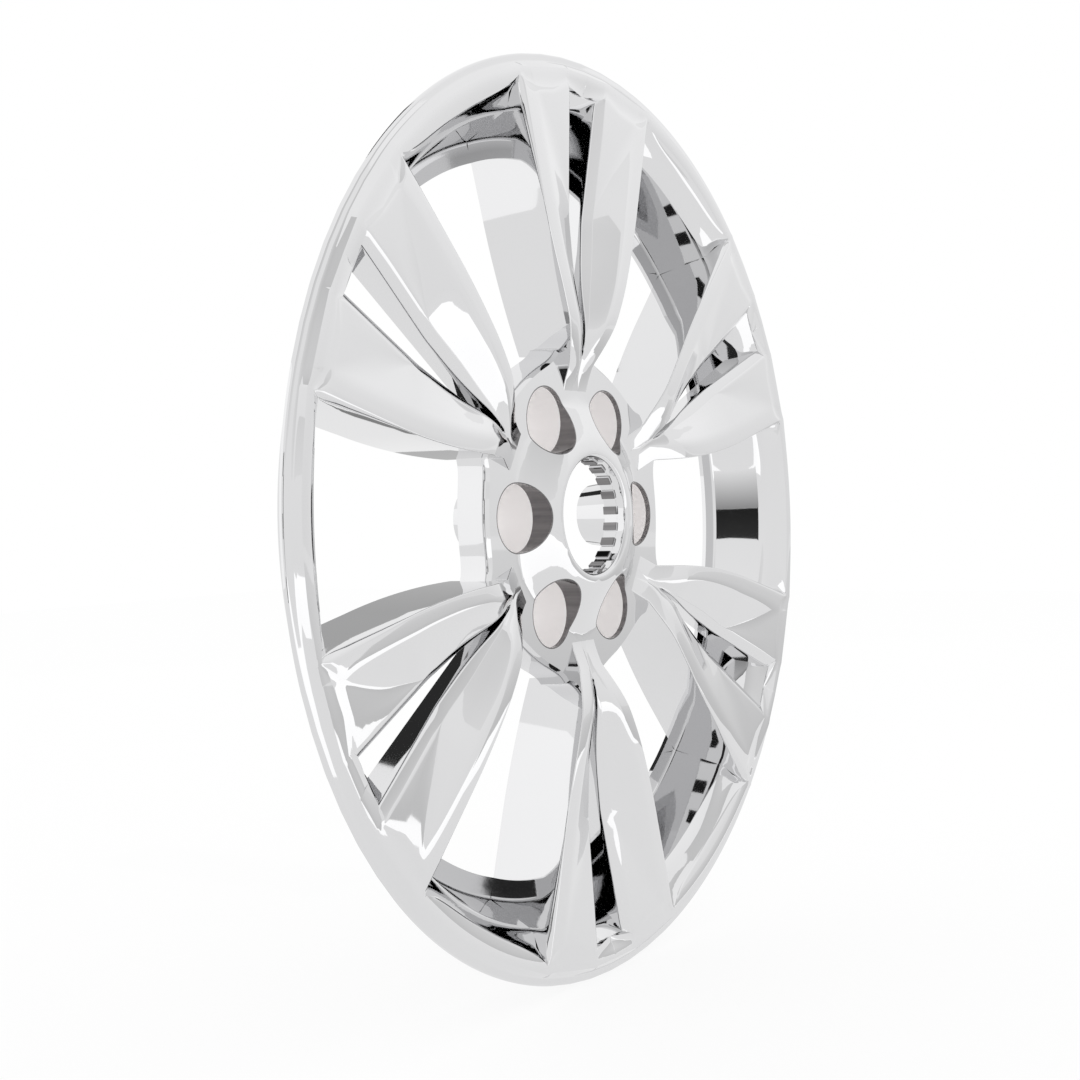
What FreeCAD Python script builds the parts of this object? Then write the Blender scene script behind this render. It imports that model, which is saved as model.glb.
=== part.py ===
import FreeCAD, Part

import math
import os

import Sketcher

# Chrome wheel cover for a six-lug truck wheel, moulded in one thin-walled piece that is open at the back.
# It is drawn with the wheel axis along Z and the face towards +Z, then turned to stand upright,
# with the origin in the middle of the lug circle on the floor of the lug pockets.
# u runs outwards along the middle of a pair of spokes, w across the pair and z towards the front.

doc = FreeCAD.newDocument("wheel_cover")
sheet = doc.addObject("Spreadsheet::Sheet", "Sizes")

DRIVING_SIZES = {
    # whole cover
    "cover_radius": 290.0,
    "wall": 3.0,
    "back_depth": 44.0,
    # rim, from the outside inwards: lip, crest, face, bevel towards the windows, inner wall and back flange
    "lip_width": 4.5,
    "lip_edge": 1.0,
    "lip_step": 1.5,
    "crest_inset": 9.0,
    "crest_height": 3.8,
    "face_width": 13.0,
    "rim_bevel": 9.0,
    "rim_draft": 15.0,
    "flange_width": 13.0,
    # hub, from the axis outwards: bore with its keys, collar, dome, flank, lug pockets and boss wall
    "bore_radius": 37.5,
    "bore_edge": 1.5,
    "bore_land": 6.0,
    "bore_depth": 17.0,
    "key_height": 1.5,
    "key_gap": 5.0,
    "collar_width": 4.5,
    "dome_width": 6.6,
    "dome_drop": 1.7,
    "flank_width": 24.4,
    "pocket_depth": 13.3,
    "boss_margin": 31.65,
    "boss_round": 2.5,
    "boss_draft": 1.5,
    "boss_depth": 34.0,
    # lug holes and the tapered tubes behind them
    "lug_circle": 69.85,
    "lug_radius": 21.2,
    "tube_depth": 47.0,
    "tube_taper": 3.7,
    "tube_wall": 2.5,
    # across a spoke, from the window: chamfer, ridge, strip, scooped face, valley, crease, bevel and slot
    "chamfer": 2.2,
    "chamfer_drop": 3.4,
    "ridge_height": 4.3,
    "ridge_angle": 15.8,
    "ridge_bend": 0.0013,
    "ridge_bend_reach": 98.5,
    "strip_width": 11.5,
    "scoop_slope": 0.27,
    "valley_drop": 9.0,
    "valley_softness": 6.0,
    "slot_bevel": 5.5,
    "slot_bevel_drop": 4.5,
    "slot_tip_half_width": 1.2,
    "slot_end_half_width": 15.2,
    "slot_depth": 21.0,
    "least_gap": 0.8,
    # along a spoke, from the hub: root, slot tip, sunk dish and the end under the rim's face
    "root_gap": 2.0,
    "root_half_width": 12.2,
    "root_flare": 0.02,
    "root_height": -0.5,
    "slot_tip_gap": 6.5,
    "slot_end_gap": 4.0,
    "rise_before": 30.0,
    "rise_after": 45.0,
    "opening_before": 8.0,
    "opening_after": 60.0,
    "dish_past_slot": 8.0,
    "dish_length": 82.0,
    "spoke_overlap": 8.0,
    "spoke_end_dive": 5.5,
    "dive_before": 12.0,
}
PAIR_COUNT = 6
KEY_COUNT = 22
AXIS = FreeCAD.Vector(0, 0, 1)

for row, (alias, value) in enumerate(DRIVING_SIZES.items(), start=1):
    sheet.set("A%d" % row, alias)
    sheet.set("B%d" % row, str(value))
    sheet.setAlias("B%d" % row, alias)
doc.recompute()


def size(alias):
    return float(sheet.get(alias))


def blend(value, start, end):
    """0 before start, 1 after end and a smooth step between them."""
    share = min(max((value - start) / (end - start), 0.0), 1.0)
    return share * share * (3.0 - 2.0 * share)


# Round forms: profiles in the plane through the axis, every corner bound to the sheet

def ring(name, corners):
    """A profile of (radius, height) expressions, turned once about the wheel axis."""
    sketch = doc.addObject("Sketcher::SketchObject", name + "_profile")
    sketch.Placement = FreeCAD.Placement(FreeCAD.Vector(), FreeCAD.Rotation(FreeCAD.Vector(1, 0, 0), 90))
    count = len(corners)
    middle = size("cover_radius") / 2.0
    spread = size("back_depth")
    turn = [2.0 * math.pi * i / count for i in range(count)]
    guess = [FreeCAD.Vector(middle + spread * math.cos(a), spread * math.sin(a), 0) for a in turn]
    for i in range(count):
        sketch.addGeometry(Part.LineSegment(guess[i], guess[(i + 1) % count]))
    for i in range(count):
        sketch.addConstraint(Sketcher.Constraint("Coincident", i, 2, (i + 1) % count, 1))
    for i, (radius, height) in enumerate(corners):
        sides = (("DistanceX", guess[i].x, radius), ("DistanceY", guess[i].y, height))
        for kind, start, expression in sides:
            index = sketch.addConstraint(Sketcher.Constraint(kind, -1, 1, i, 1, start))
            label = "corner%d%s" % (i + 1, kind[-1])
            sketch.renameConstraint(index, label)
            sketch.setExpression("Constraints." + label, expression)
    turned = doc.addObject("Part::Revolution", name)
    turned.Source = sketch
    turned.Axis = AXIS
    turned.Angle = 360.0
    turned.Solid = True
    return turned


# Radii that several profiles share, as expressions
LIP_FOOT = "Sizes.cover_radius - Sizes.lip_width - Sizes.lip_step"
CREST = "Sizes.cover_radius - Sizes.crest_inset"
WINDOW = CREST + " - Sizes.face_width"
BEVEL_FOOT = WINDOW + " - Sizes.rim_bevel"
WALL_FOOT = BEVEL_FOOT + " - Sizes.rim_draft"
COLLAR = "Sizes.bore_radius + Sizes.collar_width"
DOME = COLLAR + " + Sizes.dome_width"
POCKET = DOME + " + Sizes.flank_width"
BOSS = "Sizes.lug_circle + Sizes.boss_margin"

rim = ring("rim", [
    ("Sizes.cover_radius", "-Sizes.wall"),
    ("Sizes.cover_radius", "-Sizes.lip_edge"),
    ("Sizes.cover_radius - Sizes.lip_edge", "0"),
    ("Sizes.cover_radius - Sizes.lip_width", "0"),
    (LIP_FOOT, "Sizes.lip_step"),
    (CREST, "Sizes.crest_height"),
    (WINDOW, "0"),
    (BEVEL_FOOT, "-Sizes.rim_bevel"),
    (WALL_FOOT, "-Sizes.back_depth"),
    (WALL_FOOT + " - Sizes.flange_width", "-Sizes.back_depth"),
    (WALL_FOOT + " - Sizes.flange_width", "-Sizes.back_depth - Sizes.wall"),
    (WALL_FOOT + " + Sizes.wall", "-Sizes.back_depth - Sizes.wall"),
    (BEVEL_FOOT + " + Sizes.wall", "-Sizes.rim_bevel - Sizes.wall * 0.4"),
    (WINDOW + " + Sizes.wall * 0.4", "-Sizes.wall"),
    (CREST, "Sizes.crest_height - Sizes.wall"),
    (LIP_FOOT, "-Sizes.wall"),
])

# The room behind the rim, up to the middle of its wall, where no spoke reaches
behind_rim = ring("behind_rim", [
    (WALL_FOOT + " + Sizes.wall / 2", "-Sizes.back_depth - Sizes.wall * 2"),
    (WALL_FOOT + " + Sizes.wall / 2", "-Sizes.back_depth"),
    (BEVEL_FOOT + " + Sizes.wall / 2", "-Sizes.rim_bevel - Sizes.wall * 0.2"),
    (WINDOW + " + Sizes.wall * 0.2", "-Sizes.wall / 2"),
    (CREST, "Sizes.crest_height - Sizes.wall / 2"),
    (LIP_FOOT, "-Sizes.wall / 2"),
    ("Sizes.cover_radius + Sizes.wall", "-Sizes.wall / 2"),
    ("Sizes.cover_radius + Sizes.wall", "-Sizes.back_depth - Sizes.wall * 2"),
])

hub = ring("hub", [
    ("Sizes.bore_radius", "-Sizes.bore_edge"),
    ("Sizes.bore_radius + Sizes.bore_edge", "0"),
    (COLLAR, "0"),
    (DOME, "-Sizes.dome_drop"),
    (POCKET, "-Sizes.pocket_depth"),
    (BOSS + " - Sizes.boss_round", "-Sizes.pocket_depth"),
    (BOSS, "-Sizes.pocket_depth - Sizes.boss_round"),
    (BOSS + " + Sizes.boss_draft", "-Sizes.boss_depth"),
    (BOSS + " + Sizes.boss_draft - Sizes.wall", "-Sizes.boss_depth"),
    (BOSS + " - Sizes.wall", "-Sizes.pocket_depth - Sizes.wall"),
    (POCKET, "-Sizes.pocket_depth - Sizes.wall"),
    (DOME, "-Sizes.dome_drop - Sizes.wall * 1.2"),
    ("Sizes.bore_radius + Sizes.wall", "-Sizes.wall"),
    ("Sizes.bore_radius + Sizes.wall", "-Sizes.bore_depth"),
    ("Sizes.bore_radius - Sizes.key_height", "-Sizes.bore_depth"),
    ("Sizes.bore_radius - Sizes.key_height", "-Sizes.bore_edge - Sizes.bore_land"),
    ("Sizes.bore_radius", "-Sizes.bore_edge - Sizes.bore_land"),
])

# The room under the dome, from the middle of its wall down to the pocket floor, which the lug sleeves fill
under_dome = ring("under_dome", [
    ("Sizes.bore_radius + Sizes.wall / 2", "-Sizes.wall / 2"),
    (COLLAR, "-Sizes.wall / 2"),
    (DOME, "-Sizes.dome_drop - Sizes.wall / 2"),
    (POCKET, "-Sizes.pocket_depth - Sizes.wall / 2"),
    (BOSS + " - Sizes.wall", "-Sizes.pocket_depth - Sizes.wall / 2"),
    (BOSS + " - Sizes.wall", "-Sizes.pocket_depth - Sizes.wall"),
    ("Sizes.bore_radius + Sizes.wall / 2", "-Sizes.pocket_depth - Sizes.wall"),
])


# Spokes: sections across a pair, lofted from the hub to the rim

wall = size("wall")
boss_radius = size("lug_circle") + size("boss_margin")
window_radius = size("cover_radius") - size("crest_inset") - size("face_width")
root_start = size("bore_radius") + size("collar_width") + size("root_gap")
slot_tip = boss_radius + size("slot_tip_gap")
slot_end = window_radius - size("slot_end_gap")
spoke_end = window_radius + size("spoke_overlap")
past_back = -size("back_depth") - 3.0 * wall


def ridge_offset(u):
    """Window edge of a spoke: a radial line that bends inwards to the root's width."""
    line = u * math.tan(math.radians(size("ridge_angle")))
    bend = size("ridge_bend") * max(0.0, boss_radius + size("ridge_bend_reach") - u) ** 2
    root_width = size("root_half_width") + size("root_flare") * (u - root_start)
    return max(line - bend, root_width)


def front_outline(u):
    """Front of one spoke at u as (w, z): chamfer foot, ridge, strip edge, valley, crease and slot edge."""
    rise = blend(u, slot_tip - size("rise_before"), slot_tip + size("rise_after"))
    opening = blend(u, slot_tip - size("opening_before"), slot_tip + size("opening_after"))
    dive = size("spoke_end_dive") * blend(u, slot_end - size("dive_before"), spoke_end)
    ridge_w = ridge_offset(u)
    ridge_z = size("root_height") + rise * (size("ridge_height") - size("root_height")) - dive
    chamfer_share = 0.5 + 0.5 * rise
    foot_w = ridge_w + size("chamfer") * chamfer_share
    foot_z = ridge_z - size("chamfer_drop") * chamfer_share
    strip_w = ridge_w - size("strip_width") * blend(u, 0.0, slot_tip)
    slot_spread = size("slot_end_half_width") * (u - slot_tip) / (slot_end - slot_tip)
    slot_w = math.hypot(size("slot_tip_half_width"), slot_spread)
    crease_w = slot_w + size("slot_bevel") * opening + size("least_gap") / 2.0
    sink = min(max((slot_end + size("dish_past_slot") - u) / size("dish_length"), 0.0), 1.0)
    drop = size("valley_drop") * rise * sink
    crease_z = ridge_z - drop
    spare = strip_w - crease_w - drop / size("scoop_slope")
    floor_width = (spare + math.hypot(spare, size("valley_softness"))) / 2.0
    valley_w = min(crease_w + floor_width, strip_w - size("least_gap"))
    slot_z = crease_z - size("slot_bevel_drop") * opening
    return [
        (foot_w, foot_z),
        (ridge_w, ridge_z),
        (strip_w, ridge_z),
        (valley_w, crease_z),
        (crease_w, crease_z),
        (slot_w, slot_z),
    ]


def skin_section(u):
    """Closed outline of one spoke at u, with its side walls down to the back."""
    front = front_outline(u)
    slot_foot = (front[5][0], -size("slot_depth"))
    window_foot = (front[0][0], -size("back_depth") - 0.5 * wall)
    return front + [slot_foot, window_foot]


def hollow_section(u):
    """The space behind one spoke at u: the front outline moved in by the wall, open at the back."""
    foot, ridge, strip, valley, crease, slot = front_outline(u)
    apart = size("least_gap")
    slot_w = slot[0] + wall
    crease_w = max(crease[0], slot_w + apart)
    valley_w = max(valley[0], crease_w + apart)
    strip_w = max(strip[0], valley_w + apart)
    window_w = max(foot[0] - wall, strip_w + apart)
    return [
        (window_w, ridge[1] - wall),
        (strip_w, strip[1] - wall),
        (valley_w, valley[1] - wall),
        (crease_w, crease[1] - wall),
        (slot_w, slot[1] - wall),
        (slot_w, past_back),
        (window_w, past_back),
    ]


def root_section(u):
    """Closed outline at u of the root that a pair of spokes grows out of, down into the pocket floor."""
    foot, ridge, strip, valley, crease, slot = front_outline(u)
    floor = -size("pocket_depth") - 0.5 * wall
    half = [(0.0, crease[1]), ridge, foot, (foot[0], floor)]
    return half + [(-w, z) for w, z in reversed(half[1:])]


def root_hollow_section(u):
    """The space behind the root at u, open at the back."""
    foot, ridge, strip, valley, crease, slot = front_outline(u)
    half = ridge[0] - 1.5 * wall
    top = crease[1] - wall
    return [(half, top), (-half, top), (-half, past_back), (half, past_back)]


def loft(name, section, stations, straight):
    """A loft through closed sections that stand across the pair at the given stations."""
    outlines = []
    for u in stations:
        points = [FreeCAD.Vector(u, w, z) for w, z in section(u)]
        outline = doc.addObject("Part::Feature", "%s_at_%d" % (name, round(u)))
        outline.Shape = Part.makePolygon(points + points[:1])
        outlines.append(outline)
    lofted = doc.addObject("Part::Loft", name)
    lofted.Sections = outlines
    lofted.Solid = True
    lofted.Ruled = straight
    return lofted


def evenly(start, stop, count):
    return [start + (stop - start) * i / (count - 1) for i in range(count)]


def cut(name, base, tool):
    """The base without the tool."""
    made = doc.addObject("Part::Cut", name)
    made.Base = base
    made.Tool = tool
    return made


def around(name, source, first_angle, count=PAIR_COUNT):
    """Copies of the source about the wheel axis."""
    copies = []
    for k in range(count):
        copy = doc.addObject("App::Link", "%s_%d" % (name, k + 1))
        copy.LinkedObject = source
        copy.LinkTransform = True
        angle = first_angle + 360.0 / count * k
        copy.Placement = FreeCAD.Placement(FreeCAD.Vector(), FreeCAD.Rotation(AXIS, angle))
        copies.append(copy)
    return copies


spoke_start = boss_radius - 0.5 * wall
root_end = slot_tip + wall
skin_stations = evenly(spoke_start, spoke_end, 12)
hollow_stations = evenly(root_end + wall, slot_end - wall, 5)
root_stations = evenly(root_start, root_end, 4)
root_hollow_stations = [root_start + 2.0 * wall, boss_radius - 1.5 * wall]
long_skin = loft("spoke_long_skin", skin_section, skin_stations, straight=False)
hollow = loft("spoke_hollow", hollow_section, hollow_stations, straight=True)
root = loft("root", root_section, root_stations, straight=True)
root_hollow = loft("root_hollow", root_hollow_section, root_hollow_stations, straight=True)

spoke = cut("spoke", cut("spoke_skin", long_skin, behind_rim), hollow)
spoke_mirror = doc.addObject("Part::Mirroring", "spoke_mirror")
spoke_mirror.Source = spoke
spoke_mirror.Normal = FreeCAD.Vector(0, 1, 0)

half_turn = 180.0 / PAIR_COUNT
spokes = around("left_spoke", spoke, half_turn) + around("right_spoke", spoke_mirror, half_turn)
roots = around("root_copy", root, half_turn)
root_hollows = around("root_hollow_copy", root_hollow, half_turn)


# Lug holes: a straight mouth with its sleeve under the dome, then a tapered tube that is open at the back

def lug_circle_line(name, radius, height):
    """A circle about the middle of the first lug hole."""
    circle = doc.addObject("Part::Circle", name)
    circle.setExpression("Radius", radius)
    circle.setExpression("Placement.Base.x", "Sizes.lug_circle")
    circle.setExpression("Placement.Base.z", height)
    return circle


def lug_taper(name, back_radius, front_radius, front_height):
    """A tapered plug between the tube's back end and the given height."""
    taper = doc.addObject("Part::Loft", name)
    taper.Sections = [
        lug_circle_line(name + "_back", back_radius, "-Sizes.tube_depth"),
        lug_circle_line(name + "_front", front_radius, front_height),
    ]
    taper.Solid = True
    taper.Ruled = True
    return taper


def lug_cylinder(name, radius, height, base):
    """A cylinder on the middle of the first lug hole."""
    cylinder = doc.addObject("Part::Cylinder", name)
    cylinder.setExpression("Radius", radius)
    cylinder.setExpression("Height", height)
    cylinder.setExpression("Placement.Base.x", "Sizes.lug_circle")
    cylinder.setExpression("Placement.Base.z", base)
    return cylinder


LUG = "Sizes.lug_radius"
LUG_OUTSIDE = "Sizes.lug_radius + Sizes.tube_wall"
FLOOR_MIDDLE = "-Sizes.pocket_depth - Sizes.wall / 2"
FLOOR_BACK = "-Sizes.pocket_depth - Sizes.wall"
tube = lug_taper("lug_tube", LUG_OUTSIDE + " - Sizes.tube_taper", LUG_OUTSIDE, FLOOR_MIDDLE)
taper = lug_taper("lug_taper", LUG + " - Sizes.tube_taper", LUG, FLOOR_BACK)
mouth = lug_cylinder("lug_mouth", LUG, "Sizes.pocket_depth + Sizes.wall * 2", FLOOR_BACK)
full_sleeve = lug_cylinder("full_sleeve", LUG_OUTSIDE, "Sizes.pocket_depth + Sizes.wall", FLOOR_BACK)
sleeve = doc.addObject("Part::Common", "lug_sleeve")
sleeve.Base = full_sleeve
sleeve.Tool = under_dome
hole = doc.addObject("Part::MultiFuse", "lug_hole")
hole.Shapes = [taper, mouth]
tubes = around("tube", tube, 0.0)
sleeves = around("sleeve", sleeve, 0.0)
holes = around("hole", hole, 0.0)


# Gaps between the keys inside the bore

gap = doc.addObject("Part::Box", "key_gap")
gap.setExpression("Length", "Sizes.key_height * 2")
gap.setExpression("Width", "Sizes.key_gap")
gap.setExpression("Height", "Sizes.bore_depth")
gap.setExpression("Placement.Base.x", "Sizes.bore_radius - Sizes.key_height * 2")
gap.setExpression("Placement.Base.y", "-Sizes.key_gap / 2")
gap.setExpression("Placement.Base.z", "-Sizes.bore_depth - Sizes.bore_edge - Sizes.bore_land - 0.01")
gaps = around("gap", gap, 0.0, KEY_COUNT)


# The finished moulding

full = doc.addObject("Part::MultiFuse", "full_form")
full.Shapes = [rim, hub] + spokes + roots + tubes + sleeves
spaces = doc.addObject("Part::Compound", "spaces")
spaces.Links = root_hollows + holes + gaps
cover = cut("cover", full, spaces)
cover.Label = "wheel_cover"
cover.Placement = FreeCAD.Placement(FreeCAD.Vector(), FreeCAD.Rotation(FreeCAD.Vector(1, 0, 0), 90))
cover.setExpression("Placement.Base.y", "-Sizes.pocket_depth")
doc.recompute()

for item in doc.Objects:
    if "Invalid" in item.State or "Error" in item.State:
        raise RuntimeError("%s failed: %s" % (item.Name, item.State))
if cover.Shape.isNull() or not cover.Shape.isValid():
    raise RuntimeError("wheel_cover has no valid shape")
print("solids", len(cover.Shape.Solids), "volume", round(cover.Shape.Volume))
os.makedirs("parts", exist_ok=True)
cover.Shape.exportStep("parts/%s.step" % cover.Label)
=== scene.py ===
import math

import bpy
import numpy as np
from mathutils import Matrix, Vector


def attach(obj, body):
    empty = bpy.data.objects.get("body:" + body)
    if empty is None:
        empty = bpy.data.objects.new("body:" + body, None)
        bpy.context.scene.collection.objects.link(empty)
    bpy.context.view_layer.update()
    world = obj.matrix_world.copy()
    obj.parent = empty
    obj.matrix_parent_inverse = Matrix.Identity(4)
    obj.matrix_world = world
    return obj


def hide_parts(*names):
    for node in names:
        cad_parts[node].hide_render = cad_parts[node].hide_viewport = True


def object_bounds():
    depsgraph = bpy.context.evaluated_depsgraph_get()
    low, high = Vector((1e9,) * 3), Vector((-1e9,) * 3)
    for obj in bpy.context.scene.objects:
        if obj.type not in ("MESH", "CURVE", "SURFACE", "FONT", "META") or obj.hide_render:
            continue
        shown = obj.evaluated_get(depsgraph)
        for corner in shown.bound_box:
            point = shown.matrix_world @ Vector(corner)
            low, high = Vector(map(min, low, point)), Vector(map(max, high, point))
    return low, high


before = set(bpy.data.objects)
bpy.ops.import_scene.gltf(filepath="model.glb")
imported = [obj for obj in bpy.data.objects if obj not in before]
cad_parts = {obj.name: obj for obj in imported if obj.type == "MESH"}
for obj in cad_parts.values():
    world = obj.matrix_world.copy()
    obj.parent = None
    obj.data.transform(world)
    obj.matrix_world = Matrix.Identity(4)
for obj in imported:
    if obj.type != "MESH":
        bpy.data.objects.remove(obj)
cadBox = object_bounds()
print("frame loaded")

# Sizes are millimetres on the wheel: x right, y up, z out of the face, zero at the edge of the rim.
# u runs out along the middle of a pair of spokes and w across it.

rim = dict(
    radius=290.0,
    edgeBreak=1.0,
    lipWidth=4.5,
    lipStep=1.5,
    lipRound=0.6,
    lipBack=-3.0,
    crest=281.0,
    crestHeight=3.8,
    window=268.0,
    bevel=9.0,
    draft=15.0,
    flange=13.0,
    back=-44.0,
    wallRound=(0.0, 2.0, 5.0, 1.2, 0.0),   # from the flange to the crest, corner by corner
    tipReach=10.5,         # how far the inner edge sweeps out beside a spoke
    tipSpread=15.0,        # along the window
    tipSpreadOnSpoke=4.0,
    tipStart=22.0,         # inside the window's edge
    tipEnd=5.0,            # outside the crest
    tipBack=-11.0,         # the sweep grows from this height
    tipFront=-3.0,         # to this one
    slotTipReach=7.0,
    slotTipSpread=5.0,
    slotTipAngle=5.2,
)

spoke = dict(
    ridgeAngle=15.8,
    ridgeHeight=4.3,
    bendFrom=200.0,
    bend=0.0013,
    stripWidth=11.5,
    chamfer=2.6,
    chamferDrop=3.7,
    chamferFrom=195.0,
    chamferFull=266.0,
    chamferLeast=0.15,     # the share of it that is left near the hub
    footBlend=14.0,        # over which the chamfer's foot runs out into the rim
    rootHalfWidth=12.8,
    rootFlare=0.02,
    rootHeight=-0.5,
    rootDip=1.2,           # under the pocket floor
    rootStart=70.0,
    rootTop=128.0,
    riseFrom=30.0,         # inside the slot's tip
    riseTo=45.0,           # outside it
    slotTip=108.0,
    slotShut=3.0,          # closed from this far inside the tip
    slotEnd=264.0,
    slotTipHalfWidth=1.2,
    slotEndHalfWidth=15.2,
    slotBevel=5.5,
    slotBevelDrop=4.5,
    bevelFrom=8.0,         # inside the slot's tip
    bevelTo=60.0,          # outside it
    slotBack=-21.0,
    valleyDrop=9.0,
    valleyTilt=0.03,
    tiltFrom=200.0,
    tiltFull=240.0,
    dishStart=272.0,
    dishFloor=190.0,
    scoopSlope=0.27,
    creaseGap=0.4,
    leastFacet=0.3,
    leastWall=0.3,
    leastSlotWall=0.5,
    wallSink=1.0,          # how far the wall goes under the pocket floor
)

hub = dict(
    bore=37.5,
    boreEdge=1.5,
    boreLand=6.0,
    boreBack=-17.0,
    keyHeight=1.5,
    keyCount=22,
    collar=42.0,
    collarLap=1.0,
    collarRound=0.7,
    dome=48.6,
    domeDrop=1.7,
    pocket=73.0,
    floor=-13.3,
    jointSpread=1.6,
    boss=101.5,
    bossGap=1.0,
    bossRound=2.5,
    bossEase=1.2,
    bossDraft=1.5,
    bossBack=-34.0,
    bossFillet=9.0,        # in the corners between the boss and the spokes
    filletSpread=6.5,
    lugCircle=69.85,
    lugRadius=21.2,
    mouthDepth=3.0,
    tubeBack=-46.4,
    tubeEndRadius=17.5,
)

moulding = dict(
    pairs=6,
    wall=3.0,              # the thickness of the sheet
    spokeRound=(0.0, 0.9, 1.9, 4.0, 7.0, 2.0, 1.1, 0.0),   # across a spoke, corner by corner
    sharpAngle=38.0,
    mergeDigits=5,         # decimals of a metre to which points that merge agree
)

# How finely the sheet is drawn
steps = dict(
    lineStart=20.0,
    lineEnd=330.0,
    lineStep=0.5,
    rootRows=13,
    spokeRows=32,
    endRows=3,
    faceRows=8,
    wallRows=6,
    acrossWindow=15,
    acrossPair=13,
    acrossBoss=30,
    besidePocket=14,
    pocketRings=8,
    tubeRings=5,
    jointSamples=9,
    sectionArc=3,          # steps in a rounded corner
    lipArc=2,
    wallArc=4,
    sectionFlats=(1, 1, 2, 2, 2, 1, 1),   # steps between the corners
    rimFlats=(2, 3, 2, 1),
    bossFlats=(2, 4),
    collarFlats=(2, 1, 3),
    tipGap=1.0,            # from the slot's tip in to the first row that is open
    endGap=1.2,
    edgeGap=0.3,
    seamGap=0.05,
    hair=0.01,
)

tiny = 1e-6   # keeps a division by a length safe
half = math.pi / moulding["pairs"]   # the angle from the middle of a pair to the middle of a window


def smoothStep(value, start, end):
    # 0 before start, 1 after end, a cubic between
    share = np.clip((value - start) / (end - start), 0.0, 1.0)
    return share * share * (3.0 - 2.0 * share)


def roundedProfile(points, reach, arcSteps, flatSteps=1):
    # every inner corner becomes a parabola that leaves its two sides at the reach
    # points: corners x 2, or a stack of such profiles, rows x corners x 2
    points = np.asarray(points, float)
    stack = points if points.ndim == 3 else points[None]
    count = stack.shape[1]
    side = np.diff(stack, axis=1)
    length = np.linalg.norm(side, axis=2, keepdims=True)
    along = side / np.maximum(length, tiny)
    flats = flatSteps if np.ndim(flatSteps) else [flatSteps] * (count - 1)
    reach = np.broadcast_to(np.asarray(reach, float), (count,))
    mostOfSide = 0.45
    columns = [stack[:, :1]]
    leave = stack[:, :1]
    for i in range(1, count - 1):
        shorter = np.minimum(length[:, i - 1], length[:, i])
        cut = np.minimum(reach[i], mostOfSide * shorter)[:, None]
        corner = stack[:, i:i + 1]
        before = corner - along[:, i - 1:i] * cut
        after = corner + along[:, i:i + 1] * cut
        share = np.linspace(0, 1, flats[i - 1] + 1)[1:][None, :, None]
        columns.append(leave + (before - leave) * share)
        t = np.linspace(0, 1, arcSteps + 1)[1:][None, :, None]
        columns.append((1 - t) ** 2 * before + 2 * t * (1 - t) * corner + t ** 2 * after)
        leave = after
    share = np.linspace(0, 1, flats[-1] + 1)[1:][None, :, None]
    columns.append(leave + (stack[:, -1:] - leave) * share)
    made = np.concatenate(columns, axis=1)
    return made if points.ndim == 3 else made[0]


def polar(radius, angle, z):
    # radius, angle and height to x, y, z
    radius, angle, z = np.broadcast_arrays(radius, angle, z)
    return np.stack([radius * np.cos(angle), radius * np.sin(angle), z], axis=-1)


def turned(angle):
    # the matrix that turns rows of points about the wheel's axis
    c, s = math.cos(angle), math.sin(angle)
    return np.array([[c, s, 0], [-s, c, 0], [0, 0, 1]])


class Sheet:
    # collects grids of points as quads, and repeats them around the wheel
    def __init__(self):
        self.points, self.quads, self.count = [], [], 0

    def add(self, grid, flip=False):
        rows, columns = grid.shape[:2]
        at = np.arange(rows * columns).reshape(rows, columns) + self.count
        quads = np.stack([at[:-1, :-1], at[:-1, 1:], at[1:, 1:], at[1:, :-1]], axis=-1).reshape(-1, 4)
        self.quads.append(quads[:, ::-1] if flip else quads)
        self.points.append(grid.reshape(-1, 3))
        self.count += rows * columns

    def addAround(self, grid, mirror, flip=False):
        # grid lies beside angle 0, the middle of a pair; its mirror image closes the pair
        for k in range(moulding["pairs"]):
            spin = turned((2 * k + 1) * half)
            self.add(grid @ spin, flip)
            if mirror:
                self.add((grid * [1, -1, 1]) @ spin, not flip)


# Lines of one spoke, nearly as the CAD has them: offset w and height z for any u

def ridgeOffset(u):
    # a radial line less a square bend towards the hub, no nearer to the middle than the root
    line = u * math.tan(math.radians(spoke["ridgeAngle"]))
    bend = spoke["bend"] * np.maximum(0.0, spoke["bendFrom"] - u) ** 2
    return np.maximum(line - bend, spoke["rootHalfWidth"] + spoke["rootFlare"] * (u - spoke["rootStart"]))


def ridgeLevel(u, rise):
    # the root's height, up to the ridge's with the rise, less the dip under the pocket floor
    level = spoke["rootHeight"] + rise * (spoke["ridgeHeight"] - spoke["rootHeight"])
    sunk = 1.0 - smoothStep(u, spoke["rootStart"], spoke["rootTop"])
    return level - sunk * (spoke["rootHeight"] - hub["floor"] + spoke["rootDip"])


def slotOffset(u):
    # a hyperbola from the tip's half width to the end's, closed inside the tip
    tip, end = spoke["slotTip"], spoke["slotEnd"]
    opened = np.hypot(spoke["slotTipHalfWidth"], spoke["slotEndHalfWidth"] * (u - tip) / (end - tip))
    return np.where(u < tip - spoke["slotShut"], 0.0, opened)


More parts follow.
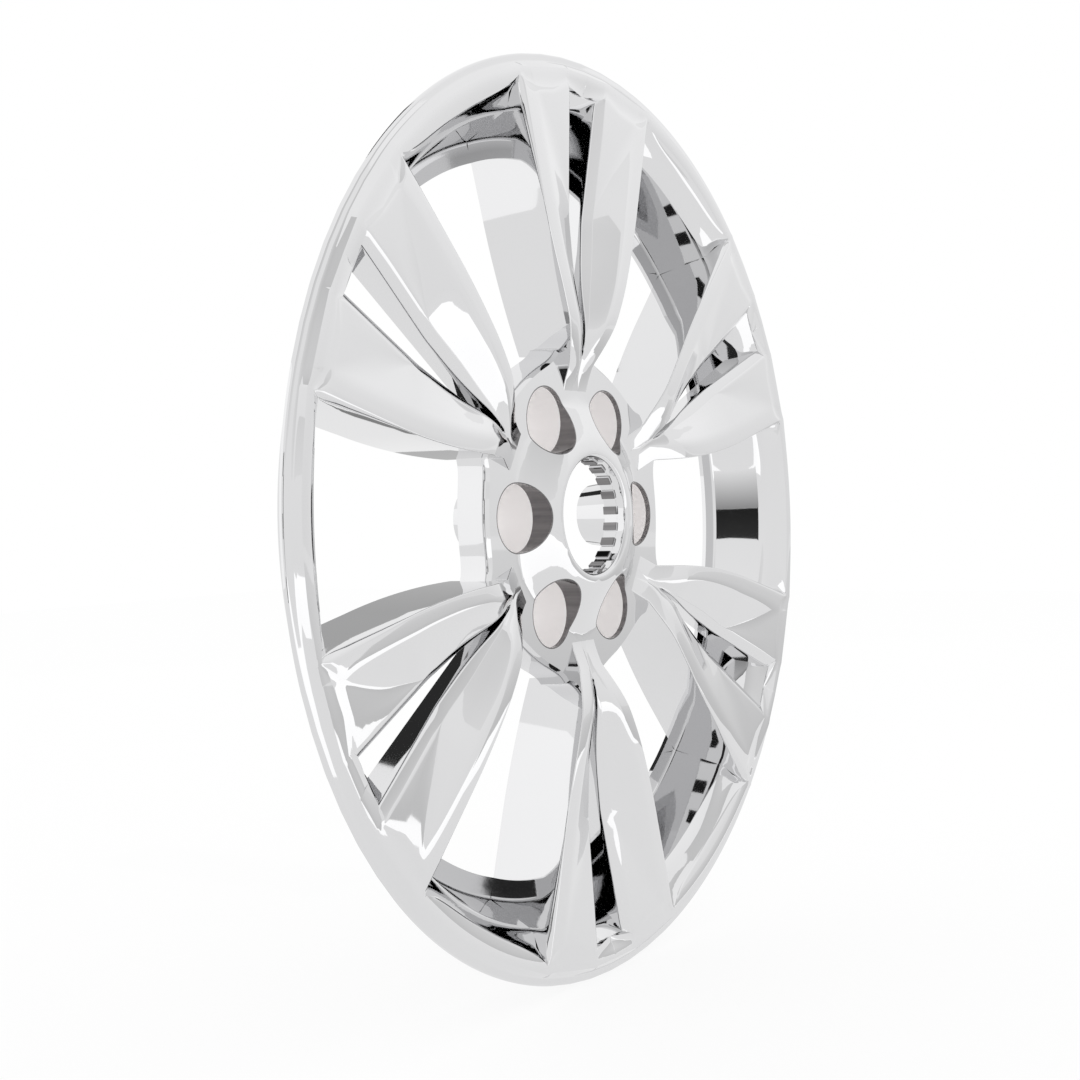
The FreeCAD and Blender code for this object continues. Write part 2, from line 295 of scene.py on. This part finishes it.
def spokeLines(u):
    # foot of the chamfer, ridge edge, strip edge, valley, crease and slot edge as (w, z) pairs
    tip = spoke["slotTip"]
    rise = smoothStep(u, tip - spoke["riseFrom"], tip + spoke["riseTo"])
    opening = smoothStep(u, tip - spoke["bevelFrom"], tip + spoke["bevelTo"])
    ridgeW, ridgeZ = ridgeOffset(u), ridgeLevel(u, rise)
    grown = np.clip((u - spoke["chamferFrom"]) / (spoke["chamferFull"] - spoke["chamferFrom"]), 0, 1)
    full = spoke["chamferLeast"] + (1.0 - spoke["chamferLeast"]) * grown
    footW = ridgeW + spoke["chamfer"] * full
    footZ = ridgeZ - spoke["chamferDrop"] * full
    stripW = ridgeW - spoke["stripWidth"] * smoothStep(u, 0, tip)
    slotW = slotOffset(u)
    creaseW = slotW + spoke["slotBevel"] * opening + spoke["creaseGap"]
    sink = np.clip((spoke["dishStart"] - u) / (spoke["dishStart"] - spoke["dishFloor"]), 0, 1)
    creaseZ = ridgeZ - spoke["valleyDrop"] * rise * sink
    scoopFoot = stripW - (ridgeZ - creaseZ) / spoke["scoopSlope"]
    valleyW = np.clip(scoopFoot, creaseW + spoke["leastFacet"], stripW - spoke["leastFacet"])
    tilt = spoke["valleyTilt"] * smoothStep(u, spoke["tiltFrom"], spoke["tiltFull"])
    valleyZ = creaseZ + tilt * (valleyW - creaseW)
    slotZ = creaseZ - spoke["slotBevelDrop"] * opening
    outer = (footW, footZ), (ridgeW, ridgeZ), (stripW, ridgeZ)
    inner = (valleyW, valleyZ), (creaseW, creaseZ), (slotW, slotZ)
    return outer + inner


def onRadius(radius):
    # the same lines at given radii, as arc lengths from the middle of the pair and heights
    u = np.arange(steps["lineStart"], steps["lineEnd"], steps["lineStep"])
    arcs, heights = [], []
    for w, z in spokeLines(u):
        reach = np.hypot(u, w)
        arcs.append(radius * np.interp(radius, reach, np.arctan2(w, u)))
        heights.append(np.interp(radius, reach, z))
    return np.stack(arcs, 1), np.stack(heights, 1)


def rimHeight(radius):
    # a quarter of a sine wave from the window's edge up to the crest
    share = np.clip((radius - rim["window"]) / (rim["crest"] - rim["window"]), 0, 1)
    return rim["crestHeight"] * np.sin(share * math.pi / 2)


sheet = Sheet()

# Rows of the front: root, spoke, rim face, then the lip and its edge
slotShutAt = spoke["slotTip"] - spoke["slotShut"]
spokeRows = np.concatenate([
    np.linspace(spoke["rootStart"], slotShutAt, steps["rootRows"]),
    np.linspace(spoke["slotTip"] - steps["tipGap"], spoke["slotEnd"], steps["spokeRows"]),
    np.linspace(spoke["slotEnd"] + steps["endGap"], rim["window"] - steps["edgeGap"], steps["endRows"]),
    [rim["window"]],
])
faceRows = np.linspace(rim["window"], rim["crest"], steps["faceRows"])[1:]
lipRadius = rim["radius"] - rim["lipWidth"]
lipRows = roundedProfile([
    (rim["crest"], rim["crestHeight"]),
    (lipRadius - rim["lipStep"], rim["lipStep"]),
    (lipRadius, 0.0),
    (rim["radius"] - rim["edgeBreak"], 0.0),
    (rim["radius"], -rim["edgeBreak"]),
    (rim["radius"], rim["lipBack"]),
], rim["lipRound"], steps["lipArc"])[1:]
rowRadius = np.concatenate([spokeRows, faceRows, lipRows[:, 0]])
rowRim = np.concatenate([rimHeight(spokeRows), rimHeight(faceRows), lipRows[:, 1]])
onFace = rowRadius >= rim["window"]
inSlot = (rowRadius > slotShutAt) & ~onFace

# Section across a spoke at each row, from the window side to the slot side
arcs, heights = onRadius(rowRadius)
toRim = smoothStep(rowRadius, spoke["slotEnd"], rim["crest"])[:, None]
heights = heights + (rowRim[:, None] - heights) * toRim
footToRim = smoothStep(rowRadius, rim["window"] - spoke["footBlend"], rim["window"])
heights[:, 0] += (rowRim - heights[:, 0]) * footToRim
heights[onFace, 0] = rowRim[onFace]
arcs[onFace, -1] = 0.0
profile = np.stack([arcs, heights], 2)

# A stub beyond each end lets the end corners be rounded too, and is then cut off
stub = 20.0
windowStub = profile[:, 0] + np.where(onFace[:, None], [stub, 0.0], [0.0, -stub])
slotStub = profile[:, -1] + np.where(inSlot[:, None], [0.0, -stub], [-stub, 0.0])
corners = np.concatenate([windowStub[:, None], profile, slotStub[:, None]], axis=1)
section = roundedProfile(corners, moulding["spokeRound"], steps["sectionArc"], steps["sectionFlats"])
section = section[:, 1:-1]
section[:, :, 0] = np.maximum(section[:, :, 0], 0.0)
front = polar(rowRadius[:, None], section[:, :, 0] / rowRadius[:, None], section[:, :, 1])
sheet.addAround(front, mirror=True)

# Inside of the rim: flange at the back, leaning wall and bevel
wallFoot = rim["window"] - rim["bevel"] - rim["draft"]
bevelRows = roundedProfile([
    (wallFoot - rim["flange"], rim["back"]),
    (wallFoot, rim["back"]),
    (rim["window"] - rim["bevel"], -rim["bevel"]),
    (rim["window"], 0.0),
    (rim["crest"], rim["crestHeight"]),
], rim["wallRound"], steps["wallArc"], steps["rimFlats"])
bevelRows = bevelRows[bevelRows[:, 0] < rim["window"] - steps["seamGap"]]


def wallBelow(radius, top, bottom):
    # straight down from the section's edge to the bottom, in even steps
    drop = np.linspace(0, 1, steps["wallRows"])[None, :]
    z = top[:, 1:] + (bottom[:, None] - top[:, 1:]) * drop
    return polar(radius[:, None], top[:, :1] / radius[:, None], z)


# Window side of a spoke, down to the back, to the rim's bevel or to the pocket floor
wallRows = rowRadius <= rim["window"]
wallRadius = rowRadius[wallRows]
top = section[wallRows, 0]
bevelZ = np.interp(wallRadius, bevelRows[:, 0], bevelRows[:, 1], left=rim["back"], right=0.0)
pocketZ = np.minimum(hub["floor"] - spoke["wallSink"], top[:, 1] - spoke["leastWall"])
atHub = wallRadius < hub["boss"] + hub["bossGap"]
windowWall = wallBelow(wallRadius, top, np.where(atHub, pocketZ, np.minimum(bevelZ, top[:, 1])))
sheet.addAround(windowWall, mirror=True, flip=True)

# Slot side of a spoke
slotRows = (rowRadius >= slotShutAt) & ~onFace
slotRadius = rowRadius[slotRows]
top = section[slotRows, -1]
bevelZ = np.interp(slotRadius, bevelRows[:, 0], bevelRows[:, 1])
slotBottom = np.minimum(np.maximum(bevelZ, spoke["slotBack"]), top[:, 1] - spoke["leastSlotWall"])
sheet.addAround(wallBelow(slotRadius, top, slotBottom), mirror=True)

# The inside of the rim with the face and the lip on the rows of the front, across half a window
edgeAngle = np.interp(bevelRows[:, 0], wallRadius, section[wallRows, 0, 0] / wallRadius)
paneRadius = np.concatenate([bevelRows[:, 0], rowRadius[onFace]])[:, None]
paneZ = np.concatenate([bevelRows[:, 1], rowRim[onFace]])[:, None]
paneAngle = np.concatenate([edgeAngle, section[onFace, 0, 0] / rowRadius[onFace]])[:, None]
across = np.linspace(0, 1, steps["acrossWindow"])[None, :]
rimPane = polar(paneRadius, paneAngle + (half - paneAngle) * across, paneZ)
sheet.addAround(rimPane, mirror=True, flip=True)

# The inside of the rim behind a pair of spokes, which also ends the slot
behindAngle = edgeAngle[:, None] * np.linspace(1, 0, steps["acrossPair"])[None, :]
sheet.addAround(polar(bevelRows[:, :1], behindAngle, bevelRows[:, 1:]), mirror=True)
print("spokes and rim drawn")

inner = hub["collar"] - hub["collarLap"]
outer = hub["boss"] - hub["bossRound"]


def hubHeight(radius):
    # collar, falling dome, steep flank and flat pocket floor, averaged over a spread to soften the joints
    places = [hub["collar"], hub["dome"], hub["pocket"]]
    levels = [0.0, -hub["domeDrop"], hub["floor"]]
    spread = np.linspace(-hub["jointSpread"], hub["jointSpread"], steps["jointSamples"])
    return np.mean([np.interp(radius + s, places, levels) for s in spread], axis=0)


def cornerGrowth(fromPair):
    # the boss flares towards the side of a spoke by an exponential of the distance left
    clear = outer * np.sin(np.abs(fromPair)) - ridgeOffset(outer)
    return hub["bossFillet"] * np.exp(-np.maximum(clear, 0.0) / hub["filletSpread"])


# Pocket floor around a lug hole: rays from the hole's edge to the border of its sixth of the hub
arcAngles = np.linspace(-half, half, steps["acrossBoss"] + 1)
outerRadius = outer + cornerGrowth(half - np.abs(arcAngles))
outerArc = polar(outerRadius, arcAngles, 0.0)
innerArc = polar(inner, arcAngles[::-1], 0.0)
upSide = polar(np.linspace(outerRadius[-1], inner, steps["besidePocket"] + 1), half, 0.0)
downSide = polar(np.linspace(inner, outerRadius[0], steps["besidePocket"] + 1), -half, 0.0)
border = np.concatenate([outerArc[:-1], upSide[:-1], innerArc[:-1], downSide])
centre = np.array([hub["lugCircle"], 0.0, 0.0])
towards = border - centre
towards /= np.linalg.norm(towards, axis=1, keepdims=True)
edge = centre + towards * hub["lugRadius"]
share = np.linspace(0, 1, steps["pocketRings"])[:, None, None]
pocket = edge[None] + (border - edge)[None] * share
pocket[:, :, 2] = hubHeight(np.hypot(pocket[:, :, 0], pocket[:, :, 1]))
sheet.addAround(pocket @ turned(-half), mirror=False, flip=True)

# Lug tube: straight from the hole's edge to its mouth, then a taper to its open back
edgeZ = pocket[0, :, 2]
mouthZ = hub["floor"] - hub["mouthDepth"]
taper = np.linspace(0, 1, steps["tubeRings"])[:, None]
taperZ = np.repeat(mouthZ + (hub["tubeBack"] - mouthZ) * taper, len(edgeZ), axis=1)
tubeZ = np.concatenate([[edgeZ, 0.5 * (edgeZ + mouthZ)], taperZ])
narrowed = np.concatenate([[[0.0], [0.0]], taper])
tubeRadius = hub["lugRadius"] + (hub["tubeEndRadius"] - hub["lugRadius"]) * narrowed
tube = centre[None, None] + towards[None] * tubeRadius[:, :, None]
tube[:, :, 2] = tubeZ
sheet.addAround(tube @ turned(-half), mirror=False)

# Boss edge and the wall under it
bossRows = roundedProfile([
    (outer, hub["floor"]),
    (hub["boss"], hub["floor"] - hub["bossRound"]),
    (hub["boss"] + hub["bossDraft"], hub["bossBack"]),
], hub["bossEase"], steps["wallArc"], steps["bossFlats"])
turns = np.linspace(0, 2 * half, steps["acrossBoss"] + 1)
bossRadius = bossRows[:, :1] + cornerGrowth(half - np.abs(turns - half))[None]
sheet.addAround(polar(bossRadius, turns[None], bossRows[:, 1:]), mirror=False, flip=True)

# Collar and the mouth of the bore
landZ = -hub["boreEdge"] - hub["boreLand"]
collarRows = roundedProfile([
    (inner, 0.0),
    (hub["bore"] + hub["boreEdge"], 0.0),
    (hub["bore"], -hub["boreEdge"]),
    (hub["bore"], landZ),
], hub["collarRound"], steps["wallArc"], steps["collarFlats"])
sheet.addAround(polar(collarRows[:, :1], turns[None], collarRows[:, 1:]), mirror=False)

# Keys inside the bore: a ring whose radius steps in and out around it, by shares of one key's pitch
places = np.array([0.0, 0.02, 0.47, 0.5, 0.52, 0.97])
stepsIn = np.array([0.0, 1.0, 1.0, 1.0, 0.0, 0.0])
pitch = 2 * math.pi / hub["keyCount"]
keyAngle = ((np.arange(hub["keyCount"])[:, None] + places[None]) * pitch).ravel()
keyAngle = np.append(keyAngle, 2 * math.pi)
keyIn = np.append(np.tile(stepsIn, hub["keyCount"]), 0.0)
keyRadius = hub["bore"] - hub["keyHeight"] * keyIn
sheet.add(np.stack([
    polar(hub["bore"], keyAngle, landZ),
    polar(keyRadius, keyAngle, landZ - steps["hair"]),
    polar(keyRadius, keyAngle, 0.5 * (landZ + hub["boreBack"])),
    polar(keyRadius, keyAngle, hub["boreBack"]),
]))
print("hub drawn")


def sweptCorners(points):
    # radii grow by an exponential of the distance from the nearest ridge or slot corner,
    # most at the window's edge
    radius = np.hypot(points[:, 0], points[:, 1])
    angle = np.abs(np.mod(np.arctan2(points[:, 1], points[:, 0]), 2 * half) - half)
    fromRidge = radius * (angle - math.radians(spoke["ridgeAngle"]))
    fromSlot = radius * np.abs(angle - math.radians(rim["slotTipAngle"]))
    spread = np.where(fromRidge > 0, rim["tipSpread"], rim["tipSpreadOnSpoke"])
    sweep = rim["tipReach"] * np.exp(-np.abs(fromRidge) / spread)
    sweep = np.maximum(sweep, rim["slotTipReach"] * np.exp(-fromSlot / rim["slotTipSpread"]))
    coming = smoothStep(radius, rim["window"] - rim["tipStart"], rim["window"])
    going = 1 - smoothStep(radius, rim["window"], rim["crest"] + rim["tipEnd"])
    grown = radius + sweep * coming * going * smoothStep(points[:, 2], rim["tipBack"], rim["tipFront"])
    lifted = np.minimum(points[:, 2] + rimHeight(grown) - rimHeight(radius), rimHeight(grown))
    moved = points * (grown / np.maximum(radius, tiny))[:, None]
    moved[:, 2] = np.where(grown > rim["window"], np.maximum(points[:, 2], lifted), points[:, 2])
    return moved


def inFrame(points):
    # millimetres on the wheel to metres in the frame: the face looks along -Y from the lug pockets' floor
    return np.stack([points[:, 0], -points[:, 2] + hub["floor"], points[:, 1]], axis=1) / 1000.0


def onWheel(points):
    # metres in the frame back to millimetres on the wheel
    across, depth, up = (points * 1000.0).T
    return np.stack([across, up, hub["floor"] - depth], axis=1)


def newMesh(name, points, corners, sides):
    # points, then the point numbers of all faces in one row, and how many each face has
    mesh = bpy.data.meshes.new(name)
    mesh.vertices.add(len(points))
    mesh.vertices.foreach_set("co", points.astype(np.float32).ravel())
    mesh.loops.add(len(corners))
    mesh.loops.foreach_set("vertex_index", corners.astype(np.int32))
    mesh.polygons.add(len(sides))
    mesh.polygons.foreach_set("loop_start", (np.cumsum(sides) - sides).astype(np.int32))
    mesh.update(calc_edges=True)
    mesh.validate()
    return mesh


def readArray(items, key, kind, width=1):
    # one value of every item of a mesh
    values = np.empty(len(items) * width, kind)
    items.foreach_get(key, values)
    return values.reshape(-1, width) if width > 1 else values.astype(int)


def drawnMesh(name, sheet):
    # one mesh of all the grids, with points that agree merged and corners that repeat left out
    placed = inFrame(np.concatenate(sheet.points))
    rounded = np.round(placed, moulding["mergeDigits"])
    first, index = np.unique(rounded, axis=0, return_index=True, return_inverse=True)[1:]
    quads = index.ravel()[np.concatenate(sheet.quads)]
    keep = quads != np.roll(quads, -1, axis=1)
    keep &= keep.sum(axis=1, keepdims=True) >= 3
    sides = keep.sum(axis=1)
    return newMesh(name, placed[first], quads[keep], sides[sides > 0])


def finished(name, mesh):
    # a second sheet one wall behind the first, along its normals, and strips that close the open edges
    # the corners are swept last, so that the wall follows the smooth normals from before
    count = len(mesh.vertices)
    normals = readArray(mesh.vertex_normals, "vector", np.float32, 3)
    points = inFrame(sweptCorners(onWheel(readArray(mesh.vertices, "co", np.float32, 3).astype(float))))
    both = np.concatenate([points, points - normals * (moulding["wall"] / 1000.0)])
    corners = readArray(mesh.loops, "vertex_index", np.int32)
    starts = readArray(mesh.polygons, "loop_start", np.int32)
    sides = readArray(mesh.polygons, "loop_total", np.int32)
    # each face the other way round, for the sheet behind
    mirrored = np.repeat(2 * starts + sides - 1, sides) - np.arange(len(corners))
    behind = corners[mirrored] + count
    # an edge is open where no face runs along it the other way
    following = np.roll(corners, -1)
    following[starts + sides - 1] = corners[starts]
    lone = ~np.isin(corners * count + following, following * count + corners)
    a, b = corners[lone], following[lone]
    strips = np.stack([b, a, a + count, b + count], axis=1)
    allCorners = np.concatenate([corners, behind, strips.ravel()])
    allSides = np.concatenate([sides, sides, np.full(len(strips), 4)])
    solid = newMesh(name, both, allCorners, allSides)
    solid.shade_smooth()
    solid.set_sharp_from_angle(angle=math.radians(moulding["sharpAngle"]))
    made = bpy.data.objects.new(name, solid)
    bpy.context.collection.objects.link(made)
    return made


cover = finished("wheelCover", drawnMesh("coverSheet", sheet))
print("cover has", len(cover.data.polygons), "faces")


class Wire:
    # one socket of a shader; arithmetic on it adds Math nodes
    def __init__(self, tree, socket=None):
        self.tree, self.socket = tree, socket

    def node(self, kind, settings, sockets, out=0):
        made = self.tree.nodes.new(kind)
        for key, value in settings.items():
            setattr(made, key, value)
        for key, value in sockets.items():
            if isinstance(value, Wire):
                value.into(made.inputs[key])
            else:
                made.inputs[key].default_value = value
        return Wire(self.tree, made.outputs[out] if made.outputs else None)

    def into(self, socket):
        self.tree.links.new(self.socket, socket)

    def calc(self, operation, *values):
        return self.node("ShaderNodeMath", {"operation": operation}, dict(enumerate(values)))

    def noise(self, scale, detail):
        return self.node("ShaderNodeTexNoise", {}, {"Vector": self, "Scale": scale, "Detail": detail})

    def blend(self, first, second):
        # the first colour where this value is 0, the second where it is 1, in the colour sockets 6 and 7
        return self.node("ShaderNodeMix", {"data_type": "RGBA"}, {0: self, 6: first, 7: second}, 2)

    def __add__(self, other):
        return self.calc("ADD", self, other)

    def __radd__(self, other):
        return self.calc("ADD", other, self)

    def __sub__(self, other):
        return self.calc("SUBTRACT", self, other)

    def __rsub__(self, other):
        return self.calc("SUBTRACT", other, self)

    def __mul__(self, other):
        return self.calc("MULTIPLY", self, other)

    def __rmul__(self, other):
        return self.calc("MULTIPLY", other, self)


def newMaterial(name):
    material = bpy.data.materials.new(name)
    material.use_nodes = True
    tree = material.node_tree
    return material, tree, tree.nodes["Principled BSDF"]


def objectPlace(tree):
    return Wire(tree).node("ShaderNodeTexCoord", {}, {}, "Object")


def axisOf(place, axis):
    return place.node("ShaderNodeSeparateXYZ", {}, {"Vector": place}, axis)


chrome = dict(
    bright=(0.72, 0.72, 0.725, 1.0),
    dull=(0.67, 0.67, 0.68, 1.0),
    dullShare=0.6,
    patchNoise=(9.0, 3.0),     # scale and detail
    polish=0.02,
    haze=0.04,
    hazeNoise=(420.0, 2.0),
    ripple=0.02,
    rippleNoise=(22.0, 1.0),
    rippleDepth=2.0,
    tube=(0.95, 0.925, 0.92, 1.0),
    tubeMetal=0.0,         # the plating thins out deep inside the lug tubes
    tubeRough=0.30,
    # painted shade: a dark colour with lighter streaks for the lug holes' mouths and the bore's keys,
    # standing for dark reflections
    paintedShade=(0.10, 0.10, 0.105, 1.0),
    paintedShadeStreak=(0.30, 0.29, 0.29, 1.0),
    streakNoise=(260.0, 2.0),
    outline=0.7,           # how far the painted shade reaches past a lug hole's edge
    mouthEdge=0.2,
    keyMargin=0.6,         # inside the bore's wall
)


def chromePlate():
    # bright plating over moulded plastic: faint haze in patches and a slow ripple in the surface, with
    # painted shade in the lug holes' mouths and on the bore's keys
    material, tree, shader = newMaterial("chromePlatedPlastic")
    here = objectPlace(tree)
    patches = here.noise(*chrome["patchNoise"])
    fine = here.noise(*chrome["hazeNoise"])
    slow = here.noise(*chrome["rippleNoise"])
    # the distance from the nearest lug hole's axis, with the six holes folded onto one
    x, y, z = [axisOf(here, axis) for axis in "XYZ"]
    angle = here.calc("WRAP", here.calc("ARCTAN2", z, x), half, -half)
    reach = here.calc("SQRT", x * x + z * z)
    along = reach * here.calc("COSINE", angle) - hub["lugCircle"] / 1000
    across = reach * here.calc("SINE", angle)
    off = here.calc("SQRT", along * along + across * across)
    # the lug tubes, their mouths and the keys as masks
    depth = here.calc("MAXIMUM", y - hub["mouthDepth"] / 1000, 0.0)
    narrowing = (hub["lugRadius"] - hub["tubeEndRadius"]) / (mouthZ - hub["tubeBack"])
    inHole = here.calc("LESS_THAN", off + narrowing * depth, (hub["lugRadius"] + chrome["outline"]) / 1000)
    inTube = inHole * here.calc("GREATER_THAN", depth, chrome["mouthEdge"] / 1000)
    onKeys = here.calc("LESS_THAN", reach, (hub["bore"] - chrome["keyMargin"]) / 1000)
    # where the painted shade goes: the hole's edge and mouth above the tube, and the keys
    inPaintedShade = here.calc("MAXIMUM", inHole - inTube, onKeys)
    # painted shade with streaks along the axis in the mouths and on the keys, standing for a dark streaked
    # reflection there
    flat = here.node("ShaderNodeCombineXYZ", {}, {"X": x, "Z": z})
    paintedShade = flat.noise(*chrome["streakNoise"]).blend(chrome["paintedShade"], chrome["paintedShadeStreak"])
    plate = (patches * chrome["dullShare"]).blend(chrome["bright"], chrome["dull"])
    colour = inPaintedShade.blend(inTube.blend(plate, chrome["tube"]), paintedShade)
    rough = chrome["polish"] + chrome["haze"] * patches * fine + chrome["tubeRough"] * inTube
    metal = 1.0 - (1.0 - chrome["tubeMetal"]) * inTube
    ripple = {"Strength": chrome["ripple"], "Distance": chrome["rippleDepth"] / 1000, "Height": slow}
    colour.into(shader.inputs["Base Color"])
    metal.into(shader.inputs["Metallic"])
    rough.into(shader.inputs["Roughness"])
    here.node("ShaderNodeBump", {}, ripple).into(shader.inputs["Normal"])
    return material


cover.data.materials.clear()
cover.data.materials.append(chromePlate())
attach(cover, "root")
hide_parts("wheel_cover")
print("chrome set")

# The studio and the camera are in metres in the frame
studio = dict(
    floorGap=0.0005,
    floorSize=8.0,
    floorColour=(0.95, 0.95, 0.95, 1.0),
    floorRough=0.9,
    floorGlow=0.85,        # the share of white in the floor as it is seen
    white=(1.0, 1.0, 1.0, 1.0),
    worldLevel=1.0,
    tentRadius=2.6,
    tentSegments=48,
    tentRings=24,
    tentLow=1.0,
    tentHigh=1.12,
    cards=dict(
        # place, what it faces, width, height, level at the bottom, level at the top
        upperFront=((-0.25, -1.6, 0.95), None, 2.6, 1.5, 0.95, 0.72),
        rightUpper=((1.5, -0.75, 0.42), None, 1.5, 0.95, 0.94, 1.16),
        rightLower=((1.1, -0.45, -0.20), None, 1.1, 0.30, 0.66, 0.88),
        backRight=((0.95, 0.85, 0.0), None, 0.8, 1.2, 0.55, 0.45),
        backTop=((0.10, 0.73, 0.95), None, 0.36, 0.36, 0.03, 0.03),
        cameraSide=((-1.05, -0.55, 0.085), None, 0.26, 0.19, 0.02, 0.04),
        belowCamera=((-1.05, -0.55, -0.135), None, 0.30, 0.25, 1.0, 0.35),
        darkHigh=((-1.0, -0.20, 0.193), None, 0.24, 0.075, 0.02, 0.02),
        darkMiddle=((-1.02, -0.19, 0.0), None, 0.14, 0.08, 0.02, 0.02),
        darkLow=((-0.95, -0.25, -0.19), None, 0.16, 0.08, 0.02, 0.02),
        backLeft=((-1.18, 0.92, 0.0), None, 1.0, 1.6, 1.20, 1.25),
        backFloor=((0.105, 0.43, -0.284), (0, 0.02, 1), 0.08, 0.26, 0.02, 0.04),
        backFloorRight=((0.31, 0.42, -0.284), (0, 0.02, 1), 0.07, 0.26, 0.25, 0.35),
        frontFloor=((-0.10, -0.85, -0.285), (0, 0.02, 1), 2.4, 1.4, 1.35, 1.45),
    ),
)


def seenRays(tree):
    # 1 for what the camera sees, straight, in a mirror or through glass
    kinds = ("Is Camera Ray", "Is Glossy Ray", "Is Transmission Ray")
    straight, mirrored, through = [Wire(tree).node("ShaderNodeLightPath", {}, {}, kind) for kind in kinds]
    return straight + mirrored + through


def paleFloor():
    # a pale matt floor that keeps the shadow, and is nearly white where it is seen
    material, tree, shader = newMaterial("paleFloor")
    shader.inputs["Base Color"].default_value = studio["floorColour"]
    shader.inputs["Roughness"].default_value = studio["floorRough"]
    matt = Wire(tree, shader.outputs[0])
    glow = matt.node("ShaderNodeEmission", {}, {"Color": studio["white"], "Strength": 1.0})
    mixed = matt.node("ShaderNodeMixShader", {}, {0: seenRays(tree) * studio["floorGlow"], 1: matt, 2: glow})
    mixed.into(tree.nodes["Material Output"].inputs["Surface"])
    return material


def forMirrorOnly(made, axis, height, bottom, top):
    # unseen by the camera, for the plating to mirror; its level changes along one axis over its height
    made.visible_camera = False
    made.visible_diffuse = False
    made.visible_shadow = False
    material, tree = newMaterial(made.name + "Paper")[:2]
    rising = axisOf(objectPlace(tree), axis) * (1.0 / height) + 0.5
    tone = rising.blend((bottom, bottom, bottom, 1.0), (top, top, top, 1.0))
    paper = tone.node("ShaderNodeEmission", {}, {"Color": tone, "Strength": 1.0})
    paper.into(tree.nodes["Material Output"].inputs["Surface"])
    made.data.materials.append(material)


def studioCard(name, place, facing, width, height, bottom, top):
    # a card that faces the cover, unless it is told another way
    facing = Vector(facing or [-value for value in place]).normalized()
    side = Vector((0, 0, 1)).cross(facing).normalized()
    upward = facing.cross(side)
    mesh = bpy.data.meshes.new(name)
    w, h = width / 2, height / 2
    mesh.from_pydata([(-w, -h, 0), (w, -h, 0), (w, h, 0), (-w, h, 0)], [], [(0, 1, 2, 3)])
    made = bpy.data.objects.new(name, mesh)
    bpy.context.collection.objects.link(made)
    made.matrix_world = Matrix.Translation(place) @ Matrix((side, upward, facing)).transposed().to_4x4()
    forMirrorOnly(made, "Y", height, bottom, top)


floorLevel = cadBox[0][2] - studio["floorGap"]
bpy.ops.mesh.primitive_plane_add(size=studio["floorSize"], location=(0, 0, floorLevel))
floor = bpy.context.object
floor.name = "studioFloor"
floor.data.materials.append(paleFloor())

# The tent's low level is at the height of the cover, so its bottom is as far below that as its top is above
tentGrid = dict(segments=studio["tentSegments"], ring_count=studio["tentRings"])
bpy.ops.mesh.primitive_uv_sphere_add(radius=studio["tentRadius"], **tentGrid)
tent = bpy.context.object
tent.name = "lightTent"
tentBottom = 2 * studio["tentLow"] - studio["tentHigh"]
forMirrorOnly(tent, "Z", 2 * studio["tentRadius"], tentBottom, studio["tentHigh"])
for name, settings in studio["cards"].items():
    studioCard(name + "Card", *settings)

world = bpy.data.worlds.new("studioWorld")
bpy.context.scene.world = world
world.use_nodes = True
tree = world.node_tree
tree.nodes.clear()
level = studio["worldLevel"] + seenRays(tree) * (1.0 - studio["worldLevel"])
sky = level.node("ShaderNodeBackground", {}, {"Color": studio["white"], "Strength": level})
sky.node("ShaderNodeOutputWorld", {}, {"Surface": sky})

# Fitted to the photograph
camera = dict(
    place=(-0.8669, -0.5508, 0.0051),
    right=(0.5643, -0.8249, -0.0319),
    up=(0.0059, -0.0346, 0.9994),
    back=(-0.8255, -0.5642, -0.0146),
    sensor=36.0,
    lens=53.18,
    shiftX=0.01414,
    shiftY=-0.04975,
    nearest=0.01,
)

lens = bpy.data.cameras.new("photoCamera")
lens.lens = camera["lens"]
lens.sensor_width = camera["sensor"]
lens.shift_x = camera["shiftX"]
lens.shift_y = camera["shiftY"]
lens.clip_start = camera["nearest"]
eye = bpy.data.objects.new("photoCamera", lens)
bpy.context.collection.objects.link(eye)
turn = Matrix((camera["right"], camera["up"], camera["back"])).transposed()
eye.matrix_world = Matrix.Translation(camera["place"]) @ turn.to_quaternion().to_matrix().to_4x4()
bpy.context.scene.camera = eye
bpy.context.scene.view_settings.view_transform = "Standard"
print("studio and camera set")
